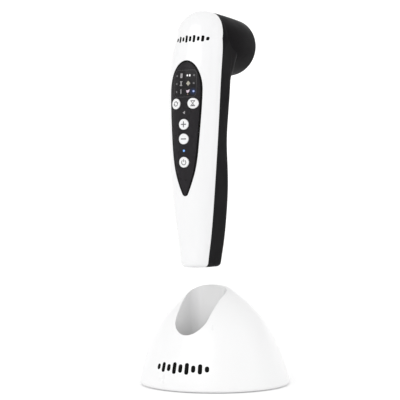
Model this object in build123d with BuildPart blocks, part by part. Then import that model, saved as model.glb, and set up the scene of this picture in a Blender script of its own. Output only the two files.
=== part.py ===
from build123d import *
from math import cos, radians, sin, tan
import os

# Cordless ultrasound therapy handset above its charging dock.
#
# Frame: +Z up, front of the object towards -Y, origin on the table under the centre of the dock.
# Lengths are in millimetres. The handset is held clear of the dock, on the slanted line along which
# it is lowered into the pocket. Its own parts are drawn from the seat point under the grip: x across,
# y to the back and z up, counted from (0, HANDSET_Y, HANDSET_Z).

os.makedirs("parts", exist_ok=True)

# ---------------------------------------------------------------- dock
DOME_RADIUS = 61.0
DOME_HEIGHT = 80.0
DOME_TILT = 4.0  # degrees, the dome leans to the front
DOME_SHOULDERS = [(55.2, 22.7), (41.4, 52.0), (21.4, 72.0)]  # radius, height
DOME_FLANK = (-0.17, 1.0)  # direction of the dome's side at its foot
DOME_SKIRT = 12.0  # drawn below the foot, then cut off level
DOME_Y = -0.7  # keeps the cut edge of the leaning dome centred
DOCK_WALL = 2.2
RIM_LOW = 0.6
RIM_EDGE = 2.0
RIM_INNER = 54.6
RIM_TOP = 7.0
BASE_RADIUS = 54.3
BASE_LOW = 1.2
BASE_TOP = 3.6
FOOT_RADIUS = 6.0
FASTENER_RING = 46.0
BASE_BOSS = 4.0
BALLAST = (52.0, 32.0, 6.0)
BALLAST_Y = -21.0
POCKET_FLOOR = 37.5
POCKET_RISE = 50.0
POCKET_WALL = 2.0
POCKET_GAP = 1.1
POCKET_CORNER = 8.5
SIDE_DRAFT = 6.8  # degrees, on the front and the sides of the pocket
BACK_DRAFT = 5.4
PAD_THICK = 0.7
STUD_RADIUS = 1.2
DOCK_BOARD = (28.0, 36.0, 1.6)
DOCK_BOARD_Y = 32.0
DOCK_BOARD_LOW = 9.0
INLET = (9.0, 8.6, 3.2)
INLET_END = 55.6

# ---------------------------------------------------------------- handset place and shells
LIFT_SLANT = 5.0  # degrees from vertical, towards the back
LIFT_DROP = 56.7  # height of the handset above its docked place
SEAT_STANDOFF = 0.8  # docked underside above the pocket floor
DOCKED_Y = -50.0
HANDSET_Z = POCKET_FLOOR + SEAT_STANDOFF + LIFT_DROP
HANDSET_Y = DOCKED_Y + LIFT_DROP * tan(radians(LIFT_SLANT))
SHELL_WALL = 2.2
PARTING_GAP = 0.2
GRIP_CORNER = 8.0
UNDERSIDE_EDGE = 4.0

# height, half width, front depth, depth of the shell joint, depth behind the joint
STATIONS = [
    (0.0, 11.0, 9.3, 12.1, 27.8),
    (18.0, 13.4, 11.3, 11.8, 29.0),
    (38.0, 15.9, 13.3, 11.2, 29.2),
    (58.0, 17.9, 15.0, 10.2, 29.0),
    (78.0, 19.5, 16.4, 10.1, 25.9),
    (98.0, 20.6, 17.3, 10.4, 22.0),
    (117.0, 21.4, 18.0, 11.2, 21.4),
    (136.0, 22.0, 18.5, 12.2, 22.2),
    (150.0, 22.2, 18.6, 13.4, 22.4),
    (164.0, 22.1, 18.8, 16.4, 22.2),
    (172.0, 22.0, 20.6, 20.4, 18.6),
    (179.6, 21.6, 23.8, 25.6, 13.4),
]
# depth, height
JOINT_LINE = [
    (12.2, -8),
    (11.2, 38),
    (10.1, 70),
    (11.2, 117),
    (13.2, 150),
    (18.4, 179),
    (22.8, 194),
    (33.0, 206.5),
]
NECK_PIVOT = (46.0, 147.0)  # y, z of the middle of the hollow under the head
# turn in degrees, half width, near and far distance from the pivot, corner
NECK = [
    (0, 22.0, 10.4, 32.0, 8.0),
    (25, 22.0, 8.8, 40.0, 8.6),
    (50, 22.0, 7.8, 46.0, 10.5),
    (72, 22.0, 8.0, 50.0, 15.5),
    (92, 21.8, 9.4, 54.8, 21.6),
]
HEAD_Z = 179.6
HEAD_MIDDLE = (42.0, 23.7)  # depth and radius
HEAD_END = (77.0, 23.1)
HEAD_EDGE = 6.0

# ---------------------------------------------------------------- handset front
FASCIA_THICK = 1.2
FASCIA_GAP = 0.15
FASCIA_RIM = 1.3  # width of the trim round the panel
FASCIA_CREST = (13.8, 23.2, 137.9)  # half width and height of the round top, height of its centre
FASCIA_SIDE = [(13.0, 117.0), (11.4, 95.0), (8.3, 74.0), (2.3, 57.3)]
FASCIA_TAPER = (-0.42, -0.9075)  # direction of the right side where the round tip starts
WINDOW_Z = 143.0
WINDOW = (19.5, 21.4)
WINDOW_CORNER = 3.5
LIGHT_GUIDE = (15.0, 16.5)
BUTTON_RADIUS = 4.1
BUTTON_GAP = 0.15
BUTTON_PROUD = 0.6
BUTTON_FLANGE = 1.0
STEM_RADIUS = 1.6
STEM_END = 2.15
BUTTONS = {
    "mode_button": (-7.4, 127.4),
    "timer_button": (7.4, 127.4),
    "plus_button": (0, 111.3),
    "minus_button": (0, 100.0),
    "power_button": (0, 82.0),
}
STATUS_LIGHT_Z = 90.9
STATUS_LIGHT_RADIUS = 0.9

# ---------------------------------------------------------------- handset inside
BOARD_FRONT = 6.5
BOARD_THICK = 1.6
BOARD_OUTLINE = [(-12.0, 54), (-16.5, 90), (-16.5, 158), (16.5, 158), (16.5, 90), (12.0, 54)]
SWITCH = (6.0, 3.3)
INDICATOR_COLUMNS = (-6.0, 0.0, 6.0)
INDICATOR_ROWS = (136.7, 143.0, 149.3)
BATTERY_RADIUS = 9.1
BATTERY_LENGTH = 65.0
BATTERY_Y = 23.6
BATTERY_LOW = 15.5
TRAY = (19.6, 11.2, 71.0)
# x, z, depth of the tip, depth of the seat of the head
SCREWS = [
    (-6.0, 7.2, 7.5, 35.0),
    (6.0, 7.2, 7.5, 35.0),
    (-13.0, 111.0, 3.5, 27.4),
    (13.0, 111.0, 3.5, 27.4),
]
BOSS_RADIUS = 3.0
SCREW_HEAD = (2.3, 1.6)
SCREW_SHANK = 1.0
PLUG_RADIUS = 2.6
BUZZER = (5.0, 3.4)
PAD_X = 5.0
PAD_Y = 25.0
PAD_RADIUS = 2.0
PAD_RECESS = 0.6
FACE_RADIUS = 19.1
FACE_THICK = 3.4
CUP_RADIUS = 16.7
CUP_WALL = 1.7
CUP_DEPTH = 12.0
FACE_WALL = 2.0
WEB_BACK = 74.0
WEB_THICK = 2.6
GASKET_THICK = 1.0
PIEZO = (13.0, 2.0)
DRIVER_BOARD = (30.0, 26.0, 1.6)
DRIVER_Y = 44.0
COIL = (6.5, 8.0)


def save(name, shape):
    """Labels one finished piece and writes it under its own name."""
    shape.label = name
    export_step(shape, f"parts/{name}.step")


# ================================================================ planes and shapes of the handset
def level(z):
    """Horizontal plane at height z of the handset."""
    return Plane((0, HANDSET_Y, HANDSET_Z + z))


def upright(y):
    """Plane across the handset at depth y, facing the front, drawn in x and z."""
    return Plane((0, HANDSET_Y + y, HANDSET_Z), x_dir=(1, 0, 0), z_dir=(0, -1, 0))


SIDE = Plane((0, HANDSET_Y, HANDSET_Z), x_dir=(0, 1, 0), z_dir=(1, 0, 0))


def section(plane, half_width, front, joint, back, corner):
    """Horizontal outline: half an ellipse in front of the joint, a rounded box behind it."""
    rear = joint + back
    with BuildSketch(plane) as outline:
        with BuildLine():
            EllipticalCenterArc((0, joint), half_width, front, 180, arc_size=180)
            FilletPolyline(
                (half_width, joint), (half_width, rear), (-half_width, rear), (-half_width, joint),
                radius=corner,
            )
        make_face()
    return outline.sketch


def grip(inset):
    """The grip from the underside up to the head's axis, moved inwards by inset."""
    with BuildPart() as body:
        loft([
            section(level(z), w - inset, f - inset, j, b - inset, GRIP_CORNER - inset / 2)
            for z, w, f, j, b in STATIONS
        ])
        if inset > 0:
            with BuildSketch(level(0)):
                Rectangle(100, 100, align=(Align.CENTER, Align.CENTER))
            extrude(amount=inset, mode=Mode.SUBTRACT)
        fillet(body.faces().sort_by(Axis.Z)[0].edges(), UNDERSIDE_EDGE - max(inset, 0))
    return body.part


def neck(inset):
    """The bend from the grip's back into the head, its sections turned about NECK_PIVOT."""
    pivot = (0, HANDSET_Y + NECK_PIVOT[0], HANDSET_Z + NECK_PIVOT[1])
    with BuildPart() as bend:
        for turn, half_width, near, far, corner in NECK:
            angle = radians(turn)
            with BuildSketch(Plane(pivot, x_dir=(1, 0, 0), z_dir=(0, -sin(angle), -cos(angle)))):
                with Locations((0, (near + far) / 2)):
                    RectangleRounded(
                        2 * (half_width - inset), far - near - 2 * inset, corner - 1.05 * inset
                    )
        loft()
    return bend.part


def crown(inset):
    """The rounded top of the front shell: its level section turned upwards about the head's axis."""
    _, half_width, radius, joint, _ = STATIONS[-1]
    hinge = (0, HANDSET_Y + joint, HANDSET_Z + HEAD_Z)
    with BuildPart() as cap:
        with BuildSketch(Plane(hinge)):
            with BuildLine():
                EllipticalCenterArc((0, 0), half_width - inset, radius - inset, 180, arc_size=180)
                Line((half_width - inset, 0), (inset - half_width, 0))
            make_face()
        revolve(axis=Axis(hinge, (-1, 0, 0)), revolution_arc=90)
    return cap.part


def head(inset):
    """The barrel of the treatment head, from the crown to its rounded end."""
    _, half_width, radius, joint, _ = STATIONS[-1]
    with BuildPart() as barrel:
        with BuildSketch(upright(joint)):
            with Locations((0, HEAD_Z)):
                Ellipse(half_width - inset, radius - inset)
        for depth, radius in (HEAD_MIDDLE, (HEAD_END[0] - inset, HEAD_END[1])):
            with BuildSketch(upright(depth)):
                with Locations((0, HEAD_Z)):
                    Circle(radius - inset)
        loft()
        fillet(barrel.edges().group_by(Axis.Y)[-1], HEAD_EDGE - inset)
    return barrel.part


def envelope(inset):
    """The whole handset as one solid, moved inwards by inset."""
    with BuildPart() as body:
        add(grip(inset))
        add(crown(inset))
        add(head(inset))
        add(neck(inset))
    return body.part


def in_front_of_joint(shift):
    """Everything in front of the joint of the two shells, its limit moved back by shift."""
    with BuildPart() as half:
        with BuildSketch(SIDE):
            with BuildLine():
                joint = Spline([(y + shift, z) for y, z in JOINT_LINE])
                Polyline(joint @ 1, (-40, JOINT_LINE[-1][1]), (-40, JOINT_LINE[0][1]), joint @ 0)
            make_face()
        extrude(amount=40, both=True)
    return half.part


def rod(x, z, near, far, radius):
    """Round bar through the handset at x and z, from depth near to depth far."""
    with BuildPart() as bar:
        with BuildSketch(upright(near)):
            with Locations((x, z)):
                Circle(radius)
        extrude(amount=near - far)
    return bar.part


def tube(near, far, outer, inner):
    """Ring on the head's axis, from depth near to depth far."""
    with BuildPart() as ring:
        with BuildSketch(upright(near)):
            with Locations((0, HEAD_Z)):
                Circle(outer)
                Circle(inner, mode=Mode.SUBTRACT)
        extrude(amount=near - far)
    return ring.part


def block(x, y, z, width, depth, height):
    """Box in the handset, centred on x, from depth y backwards and from height z upwards."""
    with BuildPart() as box:
        with BuildSketch(level(z)):
            with Locations((x, y + depth / 2)):
                Rectangle(width, depth)
        extrude(amount=height)
    return box.part


def fascia_prism(grow):
    """Tear-drop outline of the control panel, moved outwards by grow, through the front."""
    with BuildPart() as prism:
        with BuildSketch(upright(-30)):
            with BuildLine():
                crest = EllipticalCenterArc(
                    (0, FASCIA_CREST[2]), FASCIA_CREST[0] + grow, FASCIA_CREST[1] + grow, arc_size=180
                )
                right = [(x + grow, z) for x, z in FASCIA_SIDE]
                left = [(-x, z) for x, z in right]
                Spline([crest @ 0, *right], tangents=[(0, -1), FASCIA_TAPER])
                Spline([crest @ 1, *left], tangents=[(0, -1), (-FASCIA_TAPER[0], FASCIA_TAPER[1])])
                x, z = right[-1]
                tip = z + x / FASCIA_TAPER[1] * (1 + FASCIA_TAPER[0])
                ThreePointArc(right[-1], (0, tip), left[-1])
            make_face()
        extrude(amount=-(30 + BOARD_FRONT))
    return prism.part


def window_prism(grow):
    """Outline of the indicator window, through the front of the handset."""
    with BuildPart() as prism:
        with BuildSketch(upright(-30)):
            with Locations((0, WINDOW_Z)):
                RectangleRounded(WINDOW[0] + 2 * grow, WINDOW[1] + 2 * grow, WINDOW_CORNER + grow)
        extrude(amount=-(30 + BOARD_FRONT))
    return prism.part


outer = envelope(0)
inner = envelope(SHELL_WALL)
skin = grip(0)
under_fascia = grip(FASCIA_THICK)
under_wall = grip(SHELL_WALL)

# ================================================================ handset shells
with BuildPart() as bosses:
    for x, z, _, _ in SCREWS:
        add(rod(x, z, -20, 50, BOSS_RADIUS))
    add(outer, mode=Mode.INTERSECT)

with BuildPart() as fascia_recess:
    add(fascia_prism(FASCIA_GAP))
    add(under_fascia, mode=Mode.SUBTRACT)

with BuildPart() as front_shell:
    add(outer)
    add(inner, mode=Mode.SUBTRACT)
    add(bosses.part)
    add(in_front_of_joint(-PARTING_GAP / 2), mode=Mode.INTERSECT)
    add(fascia_recess.part, mode=Mode.SUBTRACT)
    for x, z in BUTTONS.values():
        add(rod(x, z, -30, BOARD_FRONT, BUTTON_RADIUS + BUTTON_GAP), mode=Mode.SUBTRACT)
    add(rod(0, STATUS_LIGHT_Z, -30, BOARD_FRONT, STATUS_LIGHT_RADIUS + 0.05), mode=Mode.SUBTRACT)
    guide_way = block(0, -30, WINDOW_Z - LIGHT_GUIDE[1] / 2, LIGHT_GUIDE[0], 40, LIGHT_GUIDE[1])
    add(guide_way, mode=Mode.SUBTRACT)
    for x, z, tip, _ in SCREWS:
        add(rod(x, z, tip - 1, 20, SCREW_SHANK + 0.05), mode=Mode.SUBTRACT)
save("front_shell", front_shell.part)

with BuildPart() as rear_shell:
    add(outer)
    add(inner, mode=Mode.SUBTRACT)
    add(bosses.part)
    add(tube(WEB_BACK - WEB_THICK, WEB_BACK, HEAD_END[1] - 1.5, CUP_RADIUS + 0.2))
    add(in_front_of_joint(PARTING_GAP / 2), mode=Mode.SUBTRACT)
    add(rod(0, HEAD_Z, WEB_BACK, HEAD_END[0] + 2, FACE_RADIUS + 0.2), mode=Mode.SUBTRACT)
    for x, z, _, seat in SCREWS:
        add(rod(x, z, 0, 50, SCREW_SHANK + 0.3), mode=Mode.SUBTRACT)
        add(rod(x, z, seat, 50, PLUG_RADIUS + 0.1), mode=Mode.SUBTRACT)
    for side in (-PAD_X, PAD_X):
        with BuildSketch(level(-1)):
            with Locations((side, PAD_Y)):
                Circle(PAD_RADIUS + 0.1)
        extrude(amount=SHELL_WALL + 2, mode=Mode.SUBTRACT)
save("rear_shell", rear_shell.part)

# ================================================================ control panel
with BuildPart() as fascia_trim:
    add(fascia_prism(0))
    add(skin, mode=Mode.INTERSECT)
    add(under_fascia, mode=Mode.SUBTRACT)
    add(fascia_prism(-FASCIA_RIM), mode=Mode.SUBTRACT)
save("fascia_trim", fascia_trim.part)

with BuildPart() as control_fascia:
    add(fascia_prism(-FASCIA_RIM))
    add(skin, mode=Mode.INTERSECT)
    add(under_fascia, mode=Mode.SUBTRACT)
    add(window_prism(0.05), mode=Mode.SUBTRACT)
    for x, z in BUTTONS.values():
        add(rod(x, z, -30, BOARD_FRONT, BUTTON_RADIUS + BUTTON_GAP), mode=Mode.SUBTRACT)
    add(rod(0, STATUS_LIGHT_Z, -30, BOARD_FRONT, STATUS_LIGHT_RADIUS + 0.05), mode=Mode.SUBTRACT)
save("control_fascia", control_fascia.part)

with BuildPart() as indicator_window:
    add(window_prism(0))
    add(skin, mode=Mode.INTERSECT)
    add(under_fascia, mode=Mode.SUBTRACT)
save("indicator_window", indicator_window.part)

proud = grip(-BUTTON_PROUD)
flange_front = grip(SHELL_WALL + 0.15)
flange_back = grip(SHELL_WALL + 0.15 + BUTTON_FLANGE)
for name, (x, z) in BUTTONS.items():
    with BuildPart() as flange:
        add(rod(x, z, -30, BOARD_FRONT, BUTTON_RADIUS + 0.9))
        add(flange_front, mode=Mode.INTERSECT)
        add(flange_back, mode=Mode.SUBTRACT)
    with BuildPart() as button:
        add(rod(x, z, -30, BOARD_FRONT, BUTTON_RADIUS))
        add(proud, mode=Mode.INTERSECT)
        add(flange_back, mode=Mode.SUBTRACT)
        add(flange.part)
        add(rod(x, z, -5, STEM_END, STEM_RADIUS))
    save(name, button.part)

with BuildPart() as status_light_pipe:
    add(rod(0, STATUS_LIGHT_Z, -30, BOARD_FRONT - 1.2, STATUS_LIGHT_RADIUS))
    add(skin, mode=Mode.INTERSECT)
save("status_light_pipe", status_light_pipe.part)

with BuildPart() as light_guide:
    low = WINDOW_Z - LIGHT_GUIDE[1] / 2 + 0.3
    add(block(0, -1.6, low, LIGHT_GUIDE[0] - 0.6, 6.6, LIGHT_GUIDE[1] - 0.6))
save("light_guide", light_guide.part)

# ================================================================ electronics of the handset
with BuildPart() as main_board:
    with BuildSketch(upright(BOARD_FRONT)):
        with BuildLine():
            FilletPolyline(*BOARD_OUTLINE, radius=2, close=True)
        make_face()
        with Locations(*[(x, z) for x, z, _, _ in SCREWS[2:]]):
            Circle(BOSS_RADIUS + 0.4, mode=Mode.SUBTRACT)
    extrude(amount=-BOARD_THICK)
save("main_board", main_board.part)

with BuildPart() as tact_switches:
    size, depth = SWITCH
    for x, z in BUTTONS.values():
        add(block(x, BOARD_FRONT - depth, z - size / 2, size, depth, size))
        add(rod(x, z, STEM_END + 0.6, BOARD_FRONT - 1, STEM_RADIUS))
save("tact_switches", tact_switches.part)

with BuildPart() as indicator_leds:
    for x in INDICATOR_COLUMNS:
        for z in INDICATOR_ROWS:
            add(block(x, BOARD_FRONT - 1.0, z - 0.8, 1.6, 1.0, 1.6))
    add(block(0, BOARD_FRONT - 1.0, STATUS_LIGHT_Z - 0.8, 1.6, 1.0, 1.6))
save("indicator_leds", indicator_leds.part)

with BuildPart() as buzzer:
    add(rod(0, 97, BOARD_FRONT + BOARD_THICK, BOARD_FRONT + BOARD_THICK + BUZZER[1], BUZZER[0]))
save("buzzer", buzzer.part)

with BuildPart() as battery:
    with BuildSketch(level(BATTERY_LOW)):
        with Locations((0, BATTERY_Y)):
            Circle(BATTERY_RADIUS)
    extrude(amount=BATTERY_LENGTH)
    fillet(battery.edges().filter_by(GeomType.CIRCLE), 0.8)
save("battery", battery.part)

with BuildPart() as battery_tray:
    width, depth, height = TRAY
    end_wall = (height - BATTERY_LENGTH) / 2
    add(block(0, 10.3, BATTERY_LOW - end_wall, width, depth, height))
    with BuildSketch(level(BATTERY_LOW - 0.2)):
        with Locations((0, BATTERY_Y)):
            Circle(BATTERY_RADIUS + 0.2)
    extrude(amount=BATTERY_LENGTH + 0.4, mode=Mode.SUBTRACT)
save("battery_tray", battery_tray.part)

with BuildPart() as driver_board:
    width, height, thick = DRIVER_BOARD
    add(block(0, DRIVER_Y, HEAD_Z - height / 2, width, thick, height))
save("driver_board", driver_board.part)

with BuildPart() as matching_coil:
    back = DRIVER_Y + DRIVER_BOARD[2]
    add(tube(back, back + COIL[1], COIL[0], 2.0))
save("matching_coil", matching_coil.part)

# ================================================================ treatment head
face_front = WEB_BACK + GASKET_THICK
face_back = face_front + FACE_THICK
with BuildPart() as treatment_head:
    add(rod(0, HEAD_Z, face_front, face_back, FACE_RADIUS))
    add(rod(0, HEAD_Z, face_front - CUP_DEPTH, face_front, CUP_RADIUS))
    bore = rod(0, HEAD_Z, face_front - CUP_DEPTH, face_back - FACE_WALL, CUP_RADIUS - CUP_WALL)
    add(bore, mode=Mode.SUBTRACT)
    fillet(treatment_head.edges().group_by(Axis.Y)[-1], 0.9)
save("treatment_head", treatment_head.part)

with BuildPart() as head_gasket:
    add(tube(WEB_BACK, face_front, FACE_RADIUS, CUP_RADIUS + 0.1))
save("head_gasket", head_gasket.part)

with BuildPart() as head_retainer:
    web_front = WEB_BACK - WEB_THICK
    add(tube(web_front - 3, web_front, CUP_RADIUS + 3.6, CUP_RADIUS + 0.05))
save("head_retainer", head_retainer.part)

piezo_back = face_back - FACE_WALL
with BuildPart() as piezo_disc:
    add(rod(0, HEAD_Z, piezo_back - PIEZO[1], piezo_back, PIEZO[0]))
save("piezo_disc", piezo_disc.part)

with BuildPart() as transducer_leads:
    start = DRIVER_Y + DRIVER_BOARD[2]
    finish = piezo_back - PIEZO[1]
    for side in (-1, 1):
        points = [
            (10 * side, start, 8),
            (10 * side, start + 12, 8),
            (5 * side, finish - 6, 2),
            (5 * side, finish, 2),
        ]
        world = [(x, HANDSET_Y + y, HANDSET_Z + HEAD_Z + z) for x, y, z in points]
        with BuildLine() as route:
            FilletPolyline(*world, radius=3)
        with BuildSketch(Plane(world[0], z_dir=(0, 1, 0))):
            Circle(0.6)
        sweep(path=route.line)
save("transducer_leads", transducer_leads.part)

# ================================================================ fasteners and contacts of the handset
with BuildPart() as case_screws:
    for x, z, tip, seat in SCREWS:
        add(rod(x, z, tip, seat + 0.1, SCREW_SHANK))
        add(rod(x, z, seat, seat + SCREW_HEAD[1], SCREW_HEAD[0]))
save("case_screws", case_screws.part)

with BuildPart() as screw_plugs:
    for x, z, _, seat in SCREWS:
        add(rod(x, z, seat + SCREW_HEAD[1] + 0.4, 50, PLUG_RADIUS))
    add(outer, mode=Mode.INTERSECT)
save("screw_plugs", screw_plugs.part)

with BuildPart() as charge_pads:
    for side in (-PAD_X, PAD_X):
        with BuildSketch(level(PAD_RECESS)):
            with Locations((side, PAD_Y)):
                Circle(PAD_RADIUS)
        extrude(amount=SHELL_WALL + 0.4)
save("charge_pads", charge_pads.part)

# ================================================================ dock
TILT = radians(DOME_TILT)
DOME_PLANE = Plane((0, DOME_Y, 0), x_dir=(1, 0, 0), z_dir=(0, -cos(TILT), -sin(TILT)))
DOME_AXIS = Axis((0, DOME_Y, 0), (0, -sin(TILT), cos(TILT)))


def dome(inset):
    """The leaning dome as one solid, moved inwards by inset and cut level below."""
    across = (DOME_RADIUS - inset) / DOME_RADIUS
    up = (DOME_HEIGHT - inset) / DOME_HEIGHT
    foot = (DOME_RADIUS * across, 0)
    top = (0, DOME_HEIGHT * up)
    with BuildPart() as body:
        with BuildSketch(DOME_PLANE):
            with BuildLine():
                shoulders = [(r * across, z * up) for r, z in DOME_SHOULDERS]
                Spline([foot, *shoulders, top], tangents=[DOME_FLANK, (-1, 0)])
                Polyline(top, (0, -DOME_SKIRT), (foot[0] - DOME_FLANK[0] * DOME_SKIRT, -DOME_SKIRT), foot)
            make_face()
        revolve(axis=DOME_AXIS)
        split(bisect_by=Plane.XY.offset(RIM_LOW), keep=Keep.TOP)
        if not inset:
            fillet(body.faces().sort_by(Axis.Z)[0].edges(), RIM_EDGE)
    return body.part


def pocket(grow, floor):
    """The tapered space for the handset's lower end, moved outwards by grow, above floor."""
    _, half_width, front, joint, back = STATIONS[0]
    with BuildPart() as space:
        for rise in (floor - POCKET_FLOOR, POCKET_RISE):
            sides = POCKET_GAP + grow + rise * tan(radians(SIDE_DRAFT))
            rear = POCKET_GAP + grow + rise * tan(radians(BACK_DRAFT))
            plane = Plane((0, DOCKED_Y, POCKET_FLOOR + rise))
            add(section(plane, half_width + sides, front + sides, joint, back + rear, POCKET_CORNER + grow))
        loft()
    return space.part


dome_outer = dome(0)
boss_places = PolarLocations(FASTENER_RING, 4, start_angle=45)
foot_places = PolarLocations(FASTENER_RING, 4)

with BuildPart() as pocket_walls:
    add(pocket(POCKET_WALL, POCKET_FLOOR - POCKET_WALL))
    add(dome_outer, mode=Mode.INTERSECT)

with BuildPart() as dock_cavity:
    add(dome(DOCK_WALL))
    split(bisect_by=Plane.XY.offset(RIM_TOP), keep=Keep.TOP)
    with BuildSketch(Plane.XY):
        Circle(RIM_INNER)
    extrude(amount=RIM_TOP + 0.5)
    with BuildSketch(Plane.XY.offset(BASE_TOP)):
        with boss_places:
            Circle(BASE_BOSS)
    extrude(amount=DOME_HEIGHT, mode=Mode.SUBTRACT)

with BuildPart() as dock_shell:
    add(dome_outer)
    add(dock_cavity.part, mode=Mode.SUBTRACT)
    add(pocket_walls.part)
    add(pocket(0, POCKET_FLOOR), mode=Mode.SUBTRACT)
    with BuildSketch(Plane.XY):
        with boss_places:
            Circle(1.25)
    extrude(amount=14, mode=Mode.SUBTRACT)
    with BuildSketch(Plane.XY.offset(POCKET_FLOOR + 1)):
        with Locations((-PAD_X, DOCKED_Y + PAD_Y), (PAD_X, DOCKED_Y + PAD_Y)):
            Circle(STUD_RADIUS + 0.05)
    extrude(amount=-POCKET_WALL - 3, mode=Mode.SUBTRACT)
    inlet_low = DOCK_BOARD_LOW + DOCK_BOARD[2]
    inlet_start = (0, INLET_END - 6, inlet_low + INLET[2] / 2)
    with BuildSketch(Plane(inlet_start, x_dir=(-1, 0, 0), z_dir=(0, 1, 0))):
        RectangleRounded(INLET[0] + 0.4, INLET[2] + 0.4, INLET[2] / 2 + 0.1)
    extrude(amount=12, mode=Mode.SUBTRACT)
save("dock_shell", dock_shell.part)

with BuildPart() as pocket_pad:
    _, half_width, front, joint, back = STATIONS[0]
    plane = Plane((0, DOCKED_Y, POCKET_FLOOR))
    add(section(plane, half_width, front, joint, back - 1, POCKET_CORNER - 1))
    extrude(amount=PAD_THICK)
    with BuildSketch(plane):
        with Locations((-PAD_X, PAD_Y), (PAD_X, PAD_Y)):
            Circle(STUD_RADIUS + 0.5)
    extrude(amount=PAD_THICK, mode=Mode.SUBTRACT)
save("pocket_pad", pocket_pad.part)

with BuildPart() as charge_studs:
    stud_top = POCKET_FLOOR + SEAT_STANDOFF + PAD_RECESS - 0.15
    with BuildSketch(Plane.XY.offset(stud_top)):
        with Locations((-PAD_X, DOCKED_Y + PAD_Y), (PAD_X, DOCKED_Y + PAD_Y)):
            Circle(STUD_RADIUS)
    extrude(amount=-8)
    fillet(charge_studs.edges().group_by(Axis.Z)[-1], 0.5)
save("charge_studs", charge_studs.part)

with BuildPart() as contact_block:
    plane = Plane((0, DOCKED_Y + PAD_Y, POCKET_FLOOR - POCKET_WALL))
    with BuildSketch(plane):
        RectangleRounded(18, 8, 1.5)
        with Locations((-PAD_X, 0), (PAD_X, 0)):
            Circle(STUD_RADIUS + 0.02, mode=Mode.SUBTRACT)
    extrude(amount=-4)
save("contact_block", contact_block.part)

with BuildPart() as dock_base:
    with BuildSketch(Plane.XY.offset(BASE_LOW)):
        Circle(BASE_RADIUS)
    extrude(amount=BASE_TOP - BASE_LOW)
    chamfer(dock_base.edges().group_by(Axis.Z)[0], 0.6)
    standoffs = [
        (side * (DOCK_BOARD[0] / 2 - 3), DOCK_BOARD_Y + end * (DOCK_BOARD[1] / 2 - 3))
        for side in (-1, 1) for end in (-1, 1)
    ]
    with BuildSketch(Plane.XY.offset(BASE_TOP)):
        with Locations(*standoffs):
            Circle(2.2)
    extrude(amount=DOCK_BOARD_LOW - BASE_TOP)
    with BuildSketch(Plane.XY.offset(BASE_LOW)):
        with boss_places:
            Circle(3.0)
    extrude(amount=1.4, mode=Mode.SUBTRACT)
    with BuildSketch(Plane.XY.offset(BASE_LOW)):
        with boss_places:
            Circle(1.4)
    extrude(amount=5, mode=Mode.SUBTRACT)
save("dock_base", dock_base.part)

with BuildPart() as base_screws:
    with BuildSketch(Plane.XY.offset(BASE_LOW + 0.1)):
        with boss_places:
            Circle(2.8)
    extrude(amount=1.3)
    with BuildSketch(Plane.XY.offset(BASE_LOW + 0.1)):
        with boss_places:
            Circle(1.2)
    extrude(amount=11)
save("base_screws", base_screws.part)

with BuildPart() as rubber_feet:
    with BuildSketch(Plane.XY):
        with foot_places:
            Circle(FOOT_RADIUS)
    extrude(amount=BASE_LOW)
    fillet(rubber_feet.edges().group_by(Axis.Z)[0], 0.4)
save("rubber_feet", rubber_feet.part)

with BuildPart() as ballast_plate:
    width, depth, height = BALLAST
    with BuildSketch(Plane((0, BALLAST_Y, BASE_TOP))):
        RectangleRounded(width, depth, 4)
    extrude(amount=height)
save("ballast_plate", ballast_plate.part)

with BuildPart() as dock_board:
    width, depth, thick = DOCK_BOARD
    with BuildSketch(Plane((0, DOCK_BOARD_Y, DOCK_BOARD_LOW))):
        RectangleRounded(width, depth, 2)
    extrude(amount=thick)
save("dock_board", dock_board.part)

with BuildPart() as power_inlet:
    width, depth, height = INLET
    with BuildSketch(Plane((0, INLET_END, inlet_low + height / 2), x_dir=(-1, 0, 0), z_dir=(0, 1, 0))):
        RectangleRounded(width, height, height / 2 - 0.1)
    extrude(amount=-depth)
    mouth = power_inlet.faces().sort_by(Axis.Y)[-1]
    with BuildSketch(Plane(mouth.center(), x_dir=(-1, 0, 0), z_dir=(0, 1, 0))):
        RectangleRounded(width - 0.7, height - 0.7, height / 2 - 0.45)
        Rectangle(width - 2.6, 0.7, mode=Mode.SUBTRACT)
    extrude(amount=-6, mode=Mode.SUBTRACT)
save("power_inlet", power_inlet.part)
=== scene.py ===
import math

import bmesh
import bpy
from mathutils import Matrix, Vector
from mathutils.bvhtree import BVHTree


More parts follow.
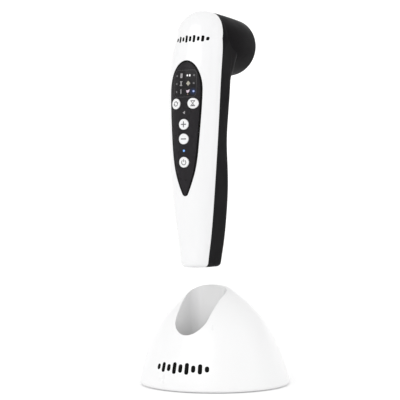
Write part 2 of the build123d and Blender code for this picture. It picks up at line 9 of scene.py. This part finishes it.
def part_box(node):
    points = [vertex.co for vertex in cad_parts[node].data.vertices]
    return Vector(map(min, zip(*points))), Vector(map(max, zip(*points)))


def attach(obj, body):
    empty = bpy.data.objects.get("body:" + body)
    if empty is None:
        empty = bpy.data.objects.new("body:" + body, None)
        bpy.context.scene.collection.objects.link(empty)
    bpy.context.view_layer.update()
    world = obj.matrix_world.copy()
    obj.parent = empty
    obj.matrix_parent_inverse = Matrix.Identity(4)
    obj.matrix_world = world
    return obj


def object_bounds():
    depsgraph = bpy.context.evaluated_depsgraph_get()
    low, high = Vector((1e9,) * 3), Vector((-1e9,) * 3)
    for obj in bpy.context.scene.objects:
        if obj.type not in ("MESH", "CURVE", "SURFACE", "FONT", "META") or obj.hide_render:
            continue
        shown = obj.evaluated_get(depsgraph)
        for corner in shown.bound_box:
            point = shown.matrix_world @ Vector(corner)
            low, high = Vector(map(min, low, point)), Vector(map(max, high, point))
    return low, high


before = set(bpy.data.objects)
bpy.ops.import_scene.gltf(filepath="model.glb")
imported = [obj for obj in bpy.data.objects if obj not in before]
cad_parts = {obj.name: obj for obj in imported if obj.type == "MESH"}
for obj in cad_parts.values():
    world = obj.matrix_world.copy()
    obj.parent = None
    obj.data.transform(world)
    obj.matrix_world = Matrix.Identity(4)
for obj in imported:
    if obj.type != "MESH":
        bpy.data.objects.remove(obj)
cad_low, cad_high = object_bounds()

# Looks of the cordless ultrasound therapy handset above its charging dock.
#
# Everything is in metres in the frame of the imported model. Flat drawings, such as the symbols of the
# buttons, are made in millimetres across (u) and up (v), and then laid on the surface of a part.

MM = 0.001

# ---------------------------------------------------------------- camera and lights
CAMERA_AZIMUTH = 27.5
CAMERA_DISTANCE = 1.00845
CAMERA_HEIGHT = 0.1401
CAMERA_LENS = 112.05
CAMERA_SHIFT = (-0.037, 0.025)
SKY = (1.0, 1.0, 1.0)
SKY_STRENGTH = 0.95
SUN_STRENGTH = 0.95
SUN_ANGLE = 50
STAGE_GLOW = 0.11
STAGE_RADIUS = 6.0
STAGE_BEND = 1.5
STAGE_HEIGHT = 1.9

# ---------------------------------------------------------------- drawings, in millimetres
INK_RISE = 0.03
INK_SINK = 0.06
GRID_STEP = 0.7
SYMBOL_STROKE = 0.62
PLUS_SIZE = (4.6, 0.85)
PLUS_CORNER = 0.12
BURST = (0.5, 0.85, 0.6, 1.0, 0.72, 1.0, 0.6, 0.85, 0.5)
BURST_THICK = 0.62
HANDSET_MARK = (27.5, 5.8)
HANDSET_MARK_SIDE = 1.0
HANDSET_MARK_DROP = 25.0
DOCK_MARK = (49.0, 8.8)
DOCK_MARK_HEIGHT = 18.2
INDICATOR_ROWS = (6.2, 0.0, -6.2)
LAMP_COLUMNS = (-7.2, 7.6)
LAMP_RADIUS = 0.72
LAMP_CROWN = 0.12
FRAME_INSET = 0.5
FRAME_CORNER = 3.2
FRAME_STROKE = 0.28
POINTER_RISE = 1.0
CHARGE_SYMBOL_RISE = 7.0
LEVEL_COLUMN = -3.0
SIGN_COLUMN = 3.2
LAMP_BLUE = (0.10, 0.30, 1.0, 1.0)


# ================================================================ materials
class Finish:
    """A surface material, with its detail made by nodes from the part's own coordinates."""

    def __init__(self, name, colour, roughness, **sockets):
        self.material = bpy.data.materials.new(name)
        self.material.use_nodes = True
        self.tree = self.material.node_tree
        self.shader = self.tree.nodes["Principled BSDF"]
        self.colour = colour
        self.roughness = roughness
        self.shader.inputs["Base Color"].default_value = (*colour, 1)
        self.shader.inputs["Roughness"].default_value = roughness
        for socket, value in sockets.items():
            self.shader.inputs[socket.replace("_", " ")].default_value = value
        self.place = self.node("TexCoord").outputs["Object"]
        self.normal = None

    def node(self, kind, **inputs):
        """A new node. A socket goes in as a link, and any other value is set."""
        made = self.tree.nodes.new("ShaderNode" + kind)
        for name, value in inputs.items():
            self.put(made.inputs[name.replace("_", " ")], value)
        return made

    def put(self, socket, value):
        if isinstance(value, bpy.types.NodeSocket):
            self.tree.links.new(value, socket)
        else:
            socket.default_value = value

    def noise(self, scale, detail=3.0):
        """Cloudy noise, with scale in features per metre."""
        return self.node("TexNoise", Vector=self.place, Scale=scale, Detail=detail).outputs["Fac"]

    def between(self, source, low, high, start=0.3, end=0.7):
        """source moved from the range start..end to the range low..high."""
        made = self.node("MapRange", Value=source)
        for name, value in (("From Min", start), ("From Max", end), ("To Min", low), ("To Max", high)):
            made.inputs[name].default_value = value
        return made.outputs["Result"]

    def vary_roughness(self, scale, spread):
        rough = self.between(self.noise(scale), self.roughness - spread, self.roughness + spread)
        self.put(self.shader.inputs["Roughness"], rough)
        return self

    def vary_colour(self, scale, other, detail=4.0):
        """Blends the base colour towards other in soft patches."""
        mix = self.node("Mix")
        mix.data_type = "RGBA"
        self.put(mix.inputs["Factor"], self.between(self.noise(scale, detail), 0.0, 1.0))
        mix.inputs[6].default_value = (*self.colour, 1)
        mix.inputs[7].default_value = (*other, 1)
        self.put(self.shader.inputs["Base Color"], mix.outputs[2])
        return self

    def round_edges(self, radius_mm):
        """Makes sharp edges catch the light as if they were rounded."""
        self.normal = self.node("Bevel", Radius=radius_mm * MM).outputs["Normal"]
        self.put(self.shader.inputs["Normal"], self.normal)
        return self

    def relief(self, height, depth_mm, strength=1.0):
        """Adds the bumps of height, which are depth_mm deep."""
        bump = self.node("Bump", Height=height, Strength=strength, Distance=depth_mm * MM)
        if self.normal is not None:
            self.put(bump.inputs["Normal"], self.normal)
        self.normal = bump.outputs["Normal"]
        self.put(self.shader.inputs["Normal"], self.normal)
        return self

    def grain(self, scale, depth_mm, detail=2.0):
        return self.relief(self.noise(scale, detail), depth_mm)

    def turned_rings(self, centre, pitch_mm, depth_mm):
        """Fine rings round the line through centre along Y, as a lathe leaves them."""
        moved = self.node("Mapping", Vector=self.place)
        moved.inputs["Location"].default_value = [-c for c in centre]
        rings = self.node("TexWave", Vector=moved.outputs["Vector"], Scale=1 / (pitch_mm * MM) / 20)
        rings.wave_type = "RINGS"
        rings.rings_direction = "Y"
        rings.inputs["Distortion"].default_value = 0.4
        return self.relief(rings.outputs["Fac"], depth_mm, 0.6)

    def halo(self, centre, radius_mm, colour, strength):
        """Light that a lamp at centre spreads in the plastic round it."""
        span = self.node("VectorMath")
        span.operation = "DISTANCE"
        self.put(span.inputs[0], self.place)
        span.inputs[1].default_value = centre
        near = self.between(span.outputs["Value"], 1.0, 0.0, 0.0, radius_mm * MM)
        falloff = self.node("Math")
        falloff.operation = "POWER"
        self.put(falloff.inputs[0], near)
        falloff.inputs[1].default_value = 2.2
        glow = self.node("Math")
        glow.operation = "MULTIPLY"
        self.put(glow.inputs[0], falloff.outputs["Value"])
        glow.inputs[1].default_value = strength
        self.shader.inputs["Emission Color"].default_value = colour
        self.put(self.shader.inputs["Emission Strength"], glow.outputs["Value"])
        return self


def middle(node):
    """Centre of a CAD node's box."""
    low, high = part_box(node)
    return (low + high) / 2


head_centre = middle("treatment_head")
window_centre = middle("indicator_window")
status_centre = middle("status_light_pipe")
status_lamp = Vector((status_centre.x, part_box("status_light_pipe")[0].y, status_centre.z))
window_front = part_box("indicator_window")[0].y
lit_lamp = Vector((
    window_centre.x + LAMP_COLUMNS[1] * MM, window_front, window_centre.z + INDICATOR_ROWS[2] * MM
))

white_shell = Finish("white_shell", (0.77, 0.77, 0.775), 0.2, Coat_Weight=0.5, Coat_Roughness=0.06)
white_shell.vary_colour(9, (0.766, 0.766, 0.771)).vary_roughness(45, 0.05)
white_shell.round_edges(0.35).grain(900, 0.004)

dock_white = Finish("dock_white", (0.79, 0.79, 0.792), 0.3, Coat_Weight=0.3, Coat_Roughness=0.12)
dock_white.vary_colour(9, (0.788, 0.788, 0.79)).vary_roughness(40, 0.03)
dock_white.round_edges(0.6).grain(1100, 0.006)

black_shell = Finish("black_shell", (0.0055, 0.005, 0.0057), 0.42, Specular_IOR_Level=0.016)
black_shell.vary_colour(30, (0.0075, 0.007, 0.0077)).vary_roughness(70, 0.06)
black_shell.round_edges(0.35).grain(5200, 0.006)

graphite = Finish("graphite_panel", (0.016, 0.0145, 0.0165), 0.3, Specular_IOR_Level=0.1)
graphite.vary_colour(60, (0.019, 0.0175, 0.0195)).vary_roughness(120, 0.05)
graphite.round_edges(0.3).grain(3800, 0.006)
graphite.halo(status_centre, 4.4, LAMP_BLUE, 0.2)

black_trim = Finish("black_trim", (0.0015, 0.0015, 0.0015), 0.25, Specular_IOR_Level=0.08)
black_trim.vary_colour(60, (0.0025, 0.0025, 0.0025)).vary_roughness(120, 0.05)
black_trim.round_edges(0.3).grain(3000, 0.004)

smoked_window = Finish("smoked_window", (0.0135, 0.0125, 0.014), 0.14, Specular_IOR_Level=0.12)
smoked_window.vary_colour(60, (0.0155, 0.0145, 0.016)).vary_roughness(90, 0.03)
smoked_window.grain(2400, 0.002)
smoked_window.halo(lit_lamp, 4.2, LAMP_BLUE, 0.22)

button_white = Finish("button_white", (0.76, 0.76, 0.765), 0.3, Coat_Weight=0.25)
button_white.vary_colour(90, (0.74, 0.74, 0.75)).vary_roughness(160, 0.05)
button_white.round_edges(0.5).grain(4200, 0.006)

head_metal = Finish("head_metal", (0.50, 0.50, 0.51), 0.22, Metallic=1.0)
head_metal.vary_colour(120, (0.46, 0.46, 0.475)).vary_roughness(260, 0.03)
head_metal.round_edges(0.4).turned_rings(head_centre, 0.5, 0.004)

steel = Finish("steel", (0.55, 0.55, 0.56), 0.3, Metallic=1.0)
steel.vary_colour(300, (0.47, 0.47, 0.48)).vary_roughness(500, 0.07)
steel.round_edges(0.2).grain(2600, 0.006)

gold = Finish("gold_contact", (0.83, 0.60, 0.24), 0.2, Metallic=1.0)
gold.vary_colour(600, (0.76, 0.52, 0.20)).vary_roughness(900, 0.05)
gold.round_edges(0.15).grain(5000, 0.002)

copper = Finish("copper_wire", (0.72, 0.32, 0.16), 0.3, Metallic=1.0)
copper.vary_colour(400, (0.60, 0.25, 0.12)).vary_roughness(700, 0.06).grain(3000, 0.01)

rubber = Finish("rubber_black", (0.010, 0.010, 0.010), 0.72, Specular_IOR_Level=0.15)
rubber.vary_colour(80, (0.015, 0.015, 0.015)).vary_roughness(180, 0.08).round_edges(0.2).grain(4600, 0.02)

component = Finish("component_black", (0.02, 0.02, 0.021), 0.5)
component.vary_colour(200, (0.028, 0.028, 0.03)).vary_roughness(400, 0.08).grain(6000, 0.01)

board_green = Finish("circuit_board", (0.012, 0.085, 0.035), 0.34, Coat_Weight=0.3)
board_green.vary_colour(260, (0.02, 0.12, 0.05)).vary_roughness(300, 0.07).grain(1800, 0.02)

diffuser = Finish("diffuser_white", (0.8, 0.82, 0.82), 0.5, Subsurface_Weight=0.3, Subsurface_Scale=0.002)
diffuser.vary_colour(150, (0.76, 0.78, 0.79)).vary_roughness(300, 0.06).grain(2500, 0.01)

light_pipe = Finish("light_pipe", (0.10, 0.28, 0.62), 0.18, Coat_Weight=0.6)
light_pipe.vary_colour(900, (0.16, 0.36, 0.70)).vary_roughness(900, 0.04)
light_pipe.halo(status_lamp, 1.3, LAMP_BLUE, 1.3)

sleeve = Finish("battery_sleeve", (0.05, 0.12, 0.36), 0.26, Coat_Weight=0.3)
sleeve.vary_colour(60, (0.06, 0.15, 0.42)).vary_roughness(90, 0.06).grain(900, 0.01)

tray_plastic = Finish("tray_plastic", (0.34, 0.35, 0.36), 0.5)
tray_plastic.vary_colour(70, (0.31, 0.32, 0.33)).vary_roughness(150, 0.06).grain(3400, 0.02)

ceramic = Finish("ceramic", (0.72, 0.68, 0.58), 0.45)
ceramic.vary_colour(300, (0.66, 0.61, 0.52)).vary_roughness(500, 0.08).grain(5200, 0.01)

base_grey = Finish("base_grey", (0.42, 0.42, 0.43), 0.55)
base_grey.vary_colour(40, (0.39, 0.39, 0.40)).vary_roughness(90, 0.06).round_edges(0.3).grain(3000, 0.03)

ink_black = Finish("ink_black", (0.003, 0.003, 0.003), 0.4, Specular_IOR_Level=0.04)
ink_black.vary_colour(500, (0.005, 0.005, 0.005)).vary_roughness(700, 0.06).grain(5200, 0.004)

ink_grey = Finish("ink_grey", (0.085, 0.085, 0.09), 0.45)
ink_grey.vary_colour(900, (0.11, 0.11, 0.115)).vary_roughness(900, 0.06).grain(5200, 0.004)

ink_line = Finish("ink_line", (0.028, 0.026, 0.029), 0.35)
ink_line.vary_colour(700, (0.036, 0.034, 0.037)).vary_roughness(900, 0.05).grain(5200, 0.003)

ink_level = Finish("ink_level", (0.26, 0.25, 0.26), 0.4)
ink_level.vary_colour(900, (0.31, 0.30, 0.31)).vary_roughness(900, 0.05).grain(5200, 0.003)

ink_white = Finish("ink_white", (0.86, 0.85, 0.87), 0.4)
ink_white.vary_colour(900, (0.80, 0.79, 0.81)).vary_roughness(900, 0.05).grain(5200, 0.003)

ink_sand = Finish("ink_sand", (0.36, 0.34, 0.28), 0.4)
ink_sand.vary_colour(900, (0.31, 0.29, 0.24)).vary_roughness(900, 0.05).grain(5200, 0.003)

ink_rose = Finish("ink_rose", (0.62, 0.52, 0.60), 0.4)
ink_rose.vary_colour(900, (0.55, 0.45, 0.53)).vary_roughness(900, 0.05).grain(5200, 0.003)

ink_amber = Finish("ink_amber", (0.16, 0.085, 0.045), 0.4)
ink_amber.vary_colour(900, (0.13, 0.07, 0.035)).vary_roughness(900, 0.05).grain(5200, 0.003)

lamp_off = Finish("lamp_off", (0.085, 0.083, 0.088), 0.22, Coat_Weight=0.5)
lamp_off.vary_colour(1200, (0.11, 0.108, 0.112)).vary_roughness(1200, 0.04).grain(5200, 0.002)

lamp_on = Finish("lamp_on", (0.30, 0.40, 0.75), 0.22, Coat_Weight=0.5)
lamp_on.vary_colour(1200, (0.36, 0.46, 0.80)).vary_roughness(1200, 0.04).grain(5200, 0.002)
lamp_on.halo(lit_lamp, 1.6, (0.30, 0.45, 1.0, 1.0), 0.75)

NODE_FINISH = {
    "front_shell": white_shell, "rear_shell": black_shell, "control_fascia": graphite,
    "fascia_trim": black_trim,
    "indicator_window": smoked_window, "status_light_pipe": light_pipe, "light_guide": diffuser,
    "main_board": board_green, "tact_switches": component, "indicator_leds": diffuser,
    "buzzer": component, "battery": sleeve, "battery_tray": tray_plastic,
    "driver_board": board_green, "matching_coil": copper, "treatment_head": head_metal,
    "head_gasket": rubber, "head_retainer": steel, "piezo_disc": ceramic,
    "transducer_leads": rubber, "case_screws": steel, "screw_plugs": rubber, "charge_pads": gold,
    "dock_shell": dock_white, "pocket_pad": rubber, "charge_studs": gold,
    "contact_block": component, "dock_base": base_grey, "base_screws": steel,
    "rubber_feet": rubber, "ballast_plate": steel, "dock_board": board_green,
    "power_inlet": steel,
    "mode_button": button_white, "timer_button": button_white, "plus_button": button_white,
    "minus_button": button_white, "power_button": button_white,
}

for name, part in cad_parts.items():
    part.data.materials.clear()
    part.data.materials.append(NODE_FINISH[name].material)


# ================================================================ flat drawings
def patch(outline, step=GRID_STEP):
    """The area inside outline as (points, faces), cut along a grid so that it can bend."""
    sheet = bmesh.new()
    sheet.faces.new([sheet.verts.new((u, v, 0)) for u, v in outline])
    bmesh.ops.triangulate(sheet, faces=sheet.faces[:])
    for axis in (0, 1):
        values = [p[axis] for p in outline]
        for k in range(math.floor(min(values) / step) + 1, math.ceil(max(values) / step)):
            direction = Vector((1, 0, 0)) if axis == 0 else Vector((0, 1, 0))
            everything = sheet.verts[:] + sheet.edges[:] + sheet.faces[:]
            bmesh.ops.bisect_plane(
                sheet, geom=everything, dist=1e-4, plane_co=direction * k * step, plane_no=direction
            )
    sheet.verts.index_update()
    points = [(v.co.x, v.co.y) for v in sheet.verts]
    faces = [[v.index for v in f.verts] for f in sheet.faces]
    sheet.free()
    return points, faces


def stroke(path, width, closed=False):
    """A line of even width along path as (points, faces)."""
    points, faces = [], []
    count = len(path)
    for i, (u, v) in enumerate(path):
        before = path[i - 1] if closed or i > 0 else path[i]
        after = path[(i + 1) % count] if closed or i < count - 1 else path[i]
        along = Vector((after[0] - before[0], after[1] - before[1])).normalized()
        side = Vector((-along.y, along.x)) * width / 2
        points += [(u + side.x * k, v + side.y * k) for k in (1, 0, -1)]
    for i in range(count if closed else count - 1):
        a, b = 3 * i, 3 * ((i + 1) % count)
        faces += [[a, a + 1, b + 1, b], [a + 1, a + 2, b + 2, b + 1]]
    return points, faces


def arc(u, v, radius, start=0, end=360, count=32):
    """Points on a circle from start to end degrees. A whole circle leaves its last point out."""
    last = count if end - start < 360 else count - 1
    turns = [math.radians(start + (end - start) * i / count) for i in range(last + 1)]
    return [(u + radius * math.cos(t), v + radius * math.sin(t)) for t in turns]


def straight(a, b, count=6):
    """Points from a to b, both included."""
    across, up = b[0] - a[0], b[1] - a[1]
    return [(a[0] + across * i / count, a[1] + up * i / count) for i in range(count + 1)]


def rounded_box(u, v, width, height, corner):
    """Outline of a box with round corners."""
    points = []
    for turn, (su, sv) in zip((0, 90, 180, 270), ((1, 1), (-1, 1), (-1, -1), (1, -1))):
        cu, cv = u + su * (width / 2 - corner), v + sv * (height / 2 - corner)
        points += arc(cu, cv, corner, turn, turn + 90, 6)
    return points


def dense(outline, step=GRID_STEP):
    """The closed outline with points added on its long sides."""
    points = []
    for i, a in enumerate(outline):
        b = outline[(i + 1) % len(outline)]
        count = max(1, math.ceil(math.dist(a, b) / step))
        points += straight(a, b, count)[:-1]
    return points


def disc(u, v, radius):
    """The area of a circle."""
    return patch(arc(u, v, radius, count=28))


def shifted(drawing, u, v):
    """The drawing moved by u and v."""
    points, faces = drawing
    return [(a + u, b + v) for a, b in points], faces


# ================================================================ laying drawings on the parts
def surface_of(*nodes):
    """Search tree of the surfaces of these CAD nodes together."""
    points, faces = [], []
    for node in nodes:
        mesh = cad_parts[node].data
        start = len(points)
        points += [v.co.copy() for v in mesh.vertices]
        faces += [[start + i for i in f.vertices] for f in mesh.polygons]
    return BVHTree.FromPolygons(points, faces)


def from_front(u, v):
    """Ray to the back for a drawing on the handset's front, u and v being x and z."""
    return Vector((u * MM, cad_low.y - 0.1, v * MM)), Vector((0, 1, 0))


def from_back(u, v):
    """Ray to the front for a drawing on the dock's back, u growing to the left."""
    return Vector((-u * MM, cad_high.y + 0.1, v * MM)), Vector((0, -1, 0))


def round_dock(u, v):
    """Ray to the dock's axis, u being the way round the dome from its front."""
    turn = u * MM / (cad_high.x - cad_low.x) * 2
    out = Vector((math.sin(turn), -math.cos(turn), 0))
    return out * 0.3 + Vector((0, 0, v * MM)), -out


def lay(name, drawings, ray, surface, finish, body, rise=INK_RISE, crown=0.0):
    """A thin closed piece made of drawings, on the surface where the rays meet it.

    crown lifts the middle of the piece further than its rim, as on the lens of a lamp.
    """
    points, faces = [], []
    for flat_points, flat_faces in drawings:
        start = len(points)
        points += flat_points
        faces += [[start + i for i in f] for f in flat_faces]
    centre = Vector((sum(p[0] for p in points), sum(p[1] for p in points))) / len(points)
    reach = max((Vector(p) - centre).length for p in points)
    top, bottom = [], []
    for u, v in points:
        origin, direction = ray(u, v)
        place, normal, _, _ = surface.ray_cast(origin, direction)
        if normal.dot(direction) > 0:
            normal = -normal
        share = 1 - ((Vector((u, v)) - centre).length / reach) ** 2
        top.append(place + normal * (rise + crown * share) * MM)
        bottom.append(place - normal * INK_SINK * MM)
    seen = {}
    for f in faces:
        for a, b in zip(f, f[1:] + f[:1]):
            seen[frozenset((a, b))] = (a, b) if frozenset((a, b)) not in seen else None
    count = len(points)
    solid = faces + [[i + count for i in reversed(f)] for f in faces]
    solid += [[b, a, a + count, b + count] for a, b in filter(None, seen.values())]
    mesh = bpy.data.meshes.new(name)
    mesh.from_pydata(top + bottom, [], solid)
    piece = bpy.data.objects.new(name, mesh)
    bpy.context.scene.collection.objects.link(piece)
    closed = bmesh.new()
    closed.from_mesh(mesh)
    bmesh.ops.recalc_face_normals(closed, faces=closed.faces[:])
    closed.to_mesh(mesh)
    closed.free()
    mesh.materials.append(finish.material)
    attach(piece, body)
    return piece


handset_front = surface_of("front_shell", "fascia_trim", "control_fascia", "indicator_window")
dock_surface = surface_of("dock_shell")


def at(point):
    """A place in the frame as (u, v) of the drawings on the front."""
    return point.x / MM, point.z / MM


# ================================================================ symbols of the buttons
def plus_sign():
    """A bar across with an arm above and below."""
    length, width = PLUS_SIZE
    arm = (length - width) / 2
    offset = (width + arm) / 2
    return [
        patch(rounded_box(0, 0, length, width, PLUS_CORNER)),
        patch(rounded_box(0, offset, width, arm, PLUS_CORNER)),
        patch(rounded_box(0, -offset, width, arm, PLUS_CORNER)),
    ]


def minus_sign():
    """A bar across."""
    return [patch(rounded_box(0, 0, *PLUS_SIZE, PLUS_CORNER))]


def power_sign():
    """An open ring with a bar in its gap."""
    ring = stroke(arc(0, -0.15, 1.85, 125, 415, 30), SYMBOL_STROKE)
    return [ring, stroke(straight((0, 0.35), (0, 2.3)), SYMBOL_STROKE)]


def mode_sign():
    """Two bent arrows that chase each other."""
    drawn = []
    for turn in (0, 180):
        drawn.append(stroke(arc(0, 0, 1.7, turn + 30, turn + 165, 16), SYMBOL_STROKE))
        tip = math.radians(turn + 14)
        middle_u, middle_v = 1.7 * math.cos(tip), 1.7 * math.sin(tip)
        drawn.append(patch(arc(middle_u, middle_v, 0.95, turn - 82, turn + 278, 3)))
    return drawn


def timer_sign():
    """An hourglass."""
    upper = [(-1.35, 1.75), (0, 0.05), (1.35, 1.75)]
    lower = [(1.35, -1.75), (0, -0.05), (-1.35, -1.75)]
    return [
        stroke(upper, SYMBOL_STROKE),
        stroke(lower, SYMBOL_STROKE),
        patch(rounded_box(0, 2.0, 3.5, 0.6, 0.15)),
        patch(rounded_box(0, -2.0, 3.5, 0.6, 0.15)),
        patch([(-0.8, -1.7), (0.8, -1.7), (0, -0.9)]),
    ]


SYMBOLS = {
    "mode_button": mode_sign, "timer_button": timer_sign, "plus_button": plus_sign,
    "minus_button": minus_sign, "power_button": power_sign,
}
for button, sign in SYMBOLS.items():
    u, v = at(middle(button))
    drawings = [shifted(d, u, v) for d in sign()]
    lay(button + "_symbol", drawings, from_front, surface_of(button), ink_grey, button)

# ================================================================ indicator window
window_u, window_v = at(window_centre)
low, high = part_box("indicator_window")
frame_width = (high.x - low.x) / MM - FRAME_INSET
frame_height = (high.z - low.z) / MM - FRAME_INSET
frame_line = dense(rounded_box(window_u, window_v, frame_width, frame_height, FRAME_CORNER))
lay(
    "window_frame_line", [stroke(frame_line, FRAME_STROKE, closed=True)], from_front, handset_front,
    ink_line, "handset", rise=0.02,
)

for row, height in enumerate(INDICATOR_ROWS):
    for column, side in enumerate(LAMP_COLUMNS):
        lit = row == 2 and column == 1
        lay(
            f"indicator_lamp_{row + 1}_{column + 1}",
            [disc(window_u + side, window_v + height, LAMP_RADIUS)],
            from_front, handset_front, lamp_on if lit else lamp_off, "handset",
            crown=LAMP_CROWN,
        )

level_u = window_u + LEVEL_COLUMN
LEVELS = {
    "high": [patch(rounded_box(0, 0, 2.0, 3.6, 0.4))],
    "middle": [
        patch(rounded_box(0, 0, 1.1, 3.4, 0.2)),
        patch(rounded_box(0, 1.45, 2.2, 0.7, 0.2)),
        patch(rounded_box(0, -1.45, 2.2, 0.7, 0.2)),
    ],
    "low": [patch(rounded_box(0, 0, 0.8, 3.6, 0.3))],
}
for (label, drawing), height in zip(LEVELS.items(), INDICATOR_ROWS):
    drawings = [shifted(d, level_u, window_v + height) for d in drawing]
    lay("level_sign_" + label, drawings, from_front, handset_front, ink_level, "handset")

sign_u = window_u + SIGN_COLUMN
pulse = [disc(-0.95, 0, 0.72), patch(rounded_box(1.0, 0, 1.15, 1.8, 0.45))]
diamond = [patch([(0, -2.0), (1.7, 0), (0, 2.0), (-1.7, 0)])]
leaf = [patch([(-1.4, 1.0), (-0.3, 0.75), (1.3, 1.5), (0.9, -0.4), (-0.1, -1.3), (-1.1, -0.8)])]
seed = [disc(-0.2, -2.3, 0.45)]
SIGNS = (
    ("pulse_sign", pulse, INDICATOR_ROWS[0], ink_white),
    ("warmth_sign", diamond, INDICATOR_ROWS[1], ink_sand),
    ("care_sign", leaf, INDICATOR_ROWS[2], ink_rose),
    ("care_sign_dot", seed, INDICATOR_ROWS[2], ink_amber),
)
for label, drawing, height, finish in SIGNS:
    drawings = [shifted(d, sign_u, window_v + height) for d in drawing]
    lay(label, drawings, from_front, handset_front, finish, "handset")

# ================================================================ marks of the panel and the shells
plus_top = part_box("plus_button")[1].z
mode_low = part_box("mode_button")[0].z
pointer_v = (plus_top + mode_low) / 2 / MM + POINTER_RISE
pointer = [patch([(-1.1, pointer_v), (0.9, pointer_v + 1.3), (0.9, pointer_v - 1.3)])]
lay("level_pointer", pointer, from_front, handset_front, ink_level, "handset")


def wave_burst(width, height, u, v):
    """A burst of sound as a row of upright bars."""
    pitch = width / (len(BURST) - 1 + BURST_THICK)
    start = u - pitch * (len(BURST) - 1) / 2
    thick = pitch * BURST_THICK
    return [
        patch(rounded_box(start + i * pitch, v, thick, height * share, thick * 0.45))
        for i, share in enumerate(BURST)
    ]


crown_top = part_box("front_shell")[1].z / MM
handset_mark = wave_burst(*HANDSET_MARK, HANDSET_MARK_SIDE, crown_top - HANDSET_MARK_DROP)
dock_mark = wave_burst(*DOCK_MARK, 0, DOCK_MARK_HEIGHT)
lay("handset_mark", handset_mark, from_front, handset_front, ink_black, "handset")
lay("dock_mark", dock_mark, round_dock, dock_surface, ink_black, "dock")

bolt = [(0.5, 2.4), (-1.5, -0.4), (-0.2, -0.4), (-0.6, -2.4), (1.5, 0.5), (0.2, 0.5)]
inlet_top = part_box("power_inlet")[1].z / MM
charge_symbol = [shifted(patch(bolt), 0, inlet_top + CHARGE_SYMBOL_RISE)]
lay("charge_symbol", charge_symbol, from_back, dock_surface, ink_grey, "dock")


# ================================================================ stage, light and camera
def stage_bowl():
    """Pale floor that bends up into a wall all round."""
    flat = STAGE_RADIUS - STAGE_BEND
    profile = [(0.0, 0.0), (0.3, 0.0), (1.0, 0.0), (flat, 0.0)]
    for i in range(1, 13):
        turn = math.radians(90 * i / 12)
        profile.append((flat + STAGE_BEND * math.sin(turn), STAGE_BEND * (1 - math.cos(turn))))
    profile.append((STAGE_RADIUS, STAGE_HEIGHT))
    count = 96
    points = [
        (r * math.cos(math.tau * k / count), r * math.sin(math.tau * k / count), z)
        for r, z in profile for k in range(count)
    ]
    faces = []
    for ring in range(0, (len(profile) - 1) * count, count):
        for k in range(count):
            after = (k + 1) % count
            faces.append((ring + k, ring + after, ring + count + after, ring + count + k))
    mesh = bpy.data.meshes.new("stage_floor")
    mesh.from_pydata(points, [], faces)
    for face in mesh.polygons:
        face.use_smooth = True
    bowl = bpy.data.objects.new("stage_floor", mesh)
    bpy.context.scene.collection.objects.link(bowl)
    paper = Finish("stage_paper", (0.9, 0.9, 0.9), 0.7, Emission_Color=(1, 1, 1, 1))
    paper.shader.inputs["Emission Strength"].default_value = STAGE_GLOW
    paper.vary_colour(3, (0.89, 0.89, 0.89)).grain(600, 0.05)
    mesh.materials.append(paper.material)


def light(name, kind, azimuth, elevation, distance, **settings):
    """A light that looks at the middle of the object from azimuth and elevation."""
    turn, rise = math.radians(azimuth), math.radians(elevation)
    out = Vector((math.sin(turn) * math.cos(rise), -math.cos(turn) * math.cos(rise), math.sin(rise)))
    data = bpy.data.lights.new(name, kind)
    for setting, value in settings.items():
        setattr(data, setting, value)
    lamp = bpy.data.objects.new(name, data)
    lamp.location = (cad_low + cad_high) / 2 + out * distance
    lamp.rotation_euler = (-out).to_track_quat("-Z", "Y").to_euler()
    bpy.context.scene.collection.objects.link(lamp)


stage_bowl()
light("softbox_right", "AREA", 95, 20, 1.5, shape="RECTANGLE", size=0.8, size_y=1.4, energy=1.2)
light("soft_sun", "SUN", -4, 30, 1.5, energy=SUN_STRENGTH, angle=math.radians(SUN_ANGLE))

world = bpy.data.worlds.new("studio_sky")
world.use_nodes = True
world.node_tree.nodes["Background"].inputs["Color"].default_value = (*SKY, 1)
world.node_tree.nodes["Background"].inputs["Strength"].default_value = SKY_STRENGTH
bpy.context.scene.world = world
bpy.context.scene.view_settings.view_transform = "Standard"

camera_data = bpy.data.cameras.new("camera")
camera_data.lens = CAMERA_LENS
camera_data.sensor_width = 36
camera_data.shift_x, camera_data.shift_y = CAMERA_SHIFT
camera = bpy.data.objects.new("camera", camera_data)
azimuth = math.radians(CAMERA_AZIMUTH)
camera.location = (
    CAMERA_DISTANCE * math.sin(azimuth), -CAMERA_DISTANCE * math.cos(azimuth), CAMERA_HEIGHT
)
camera.rotation_euler = (math.radians(90), 0, azimuth)
bpy.context.scene.collection.objects.link(camera)
bpy.context.scene.camera = camera
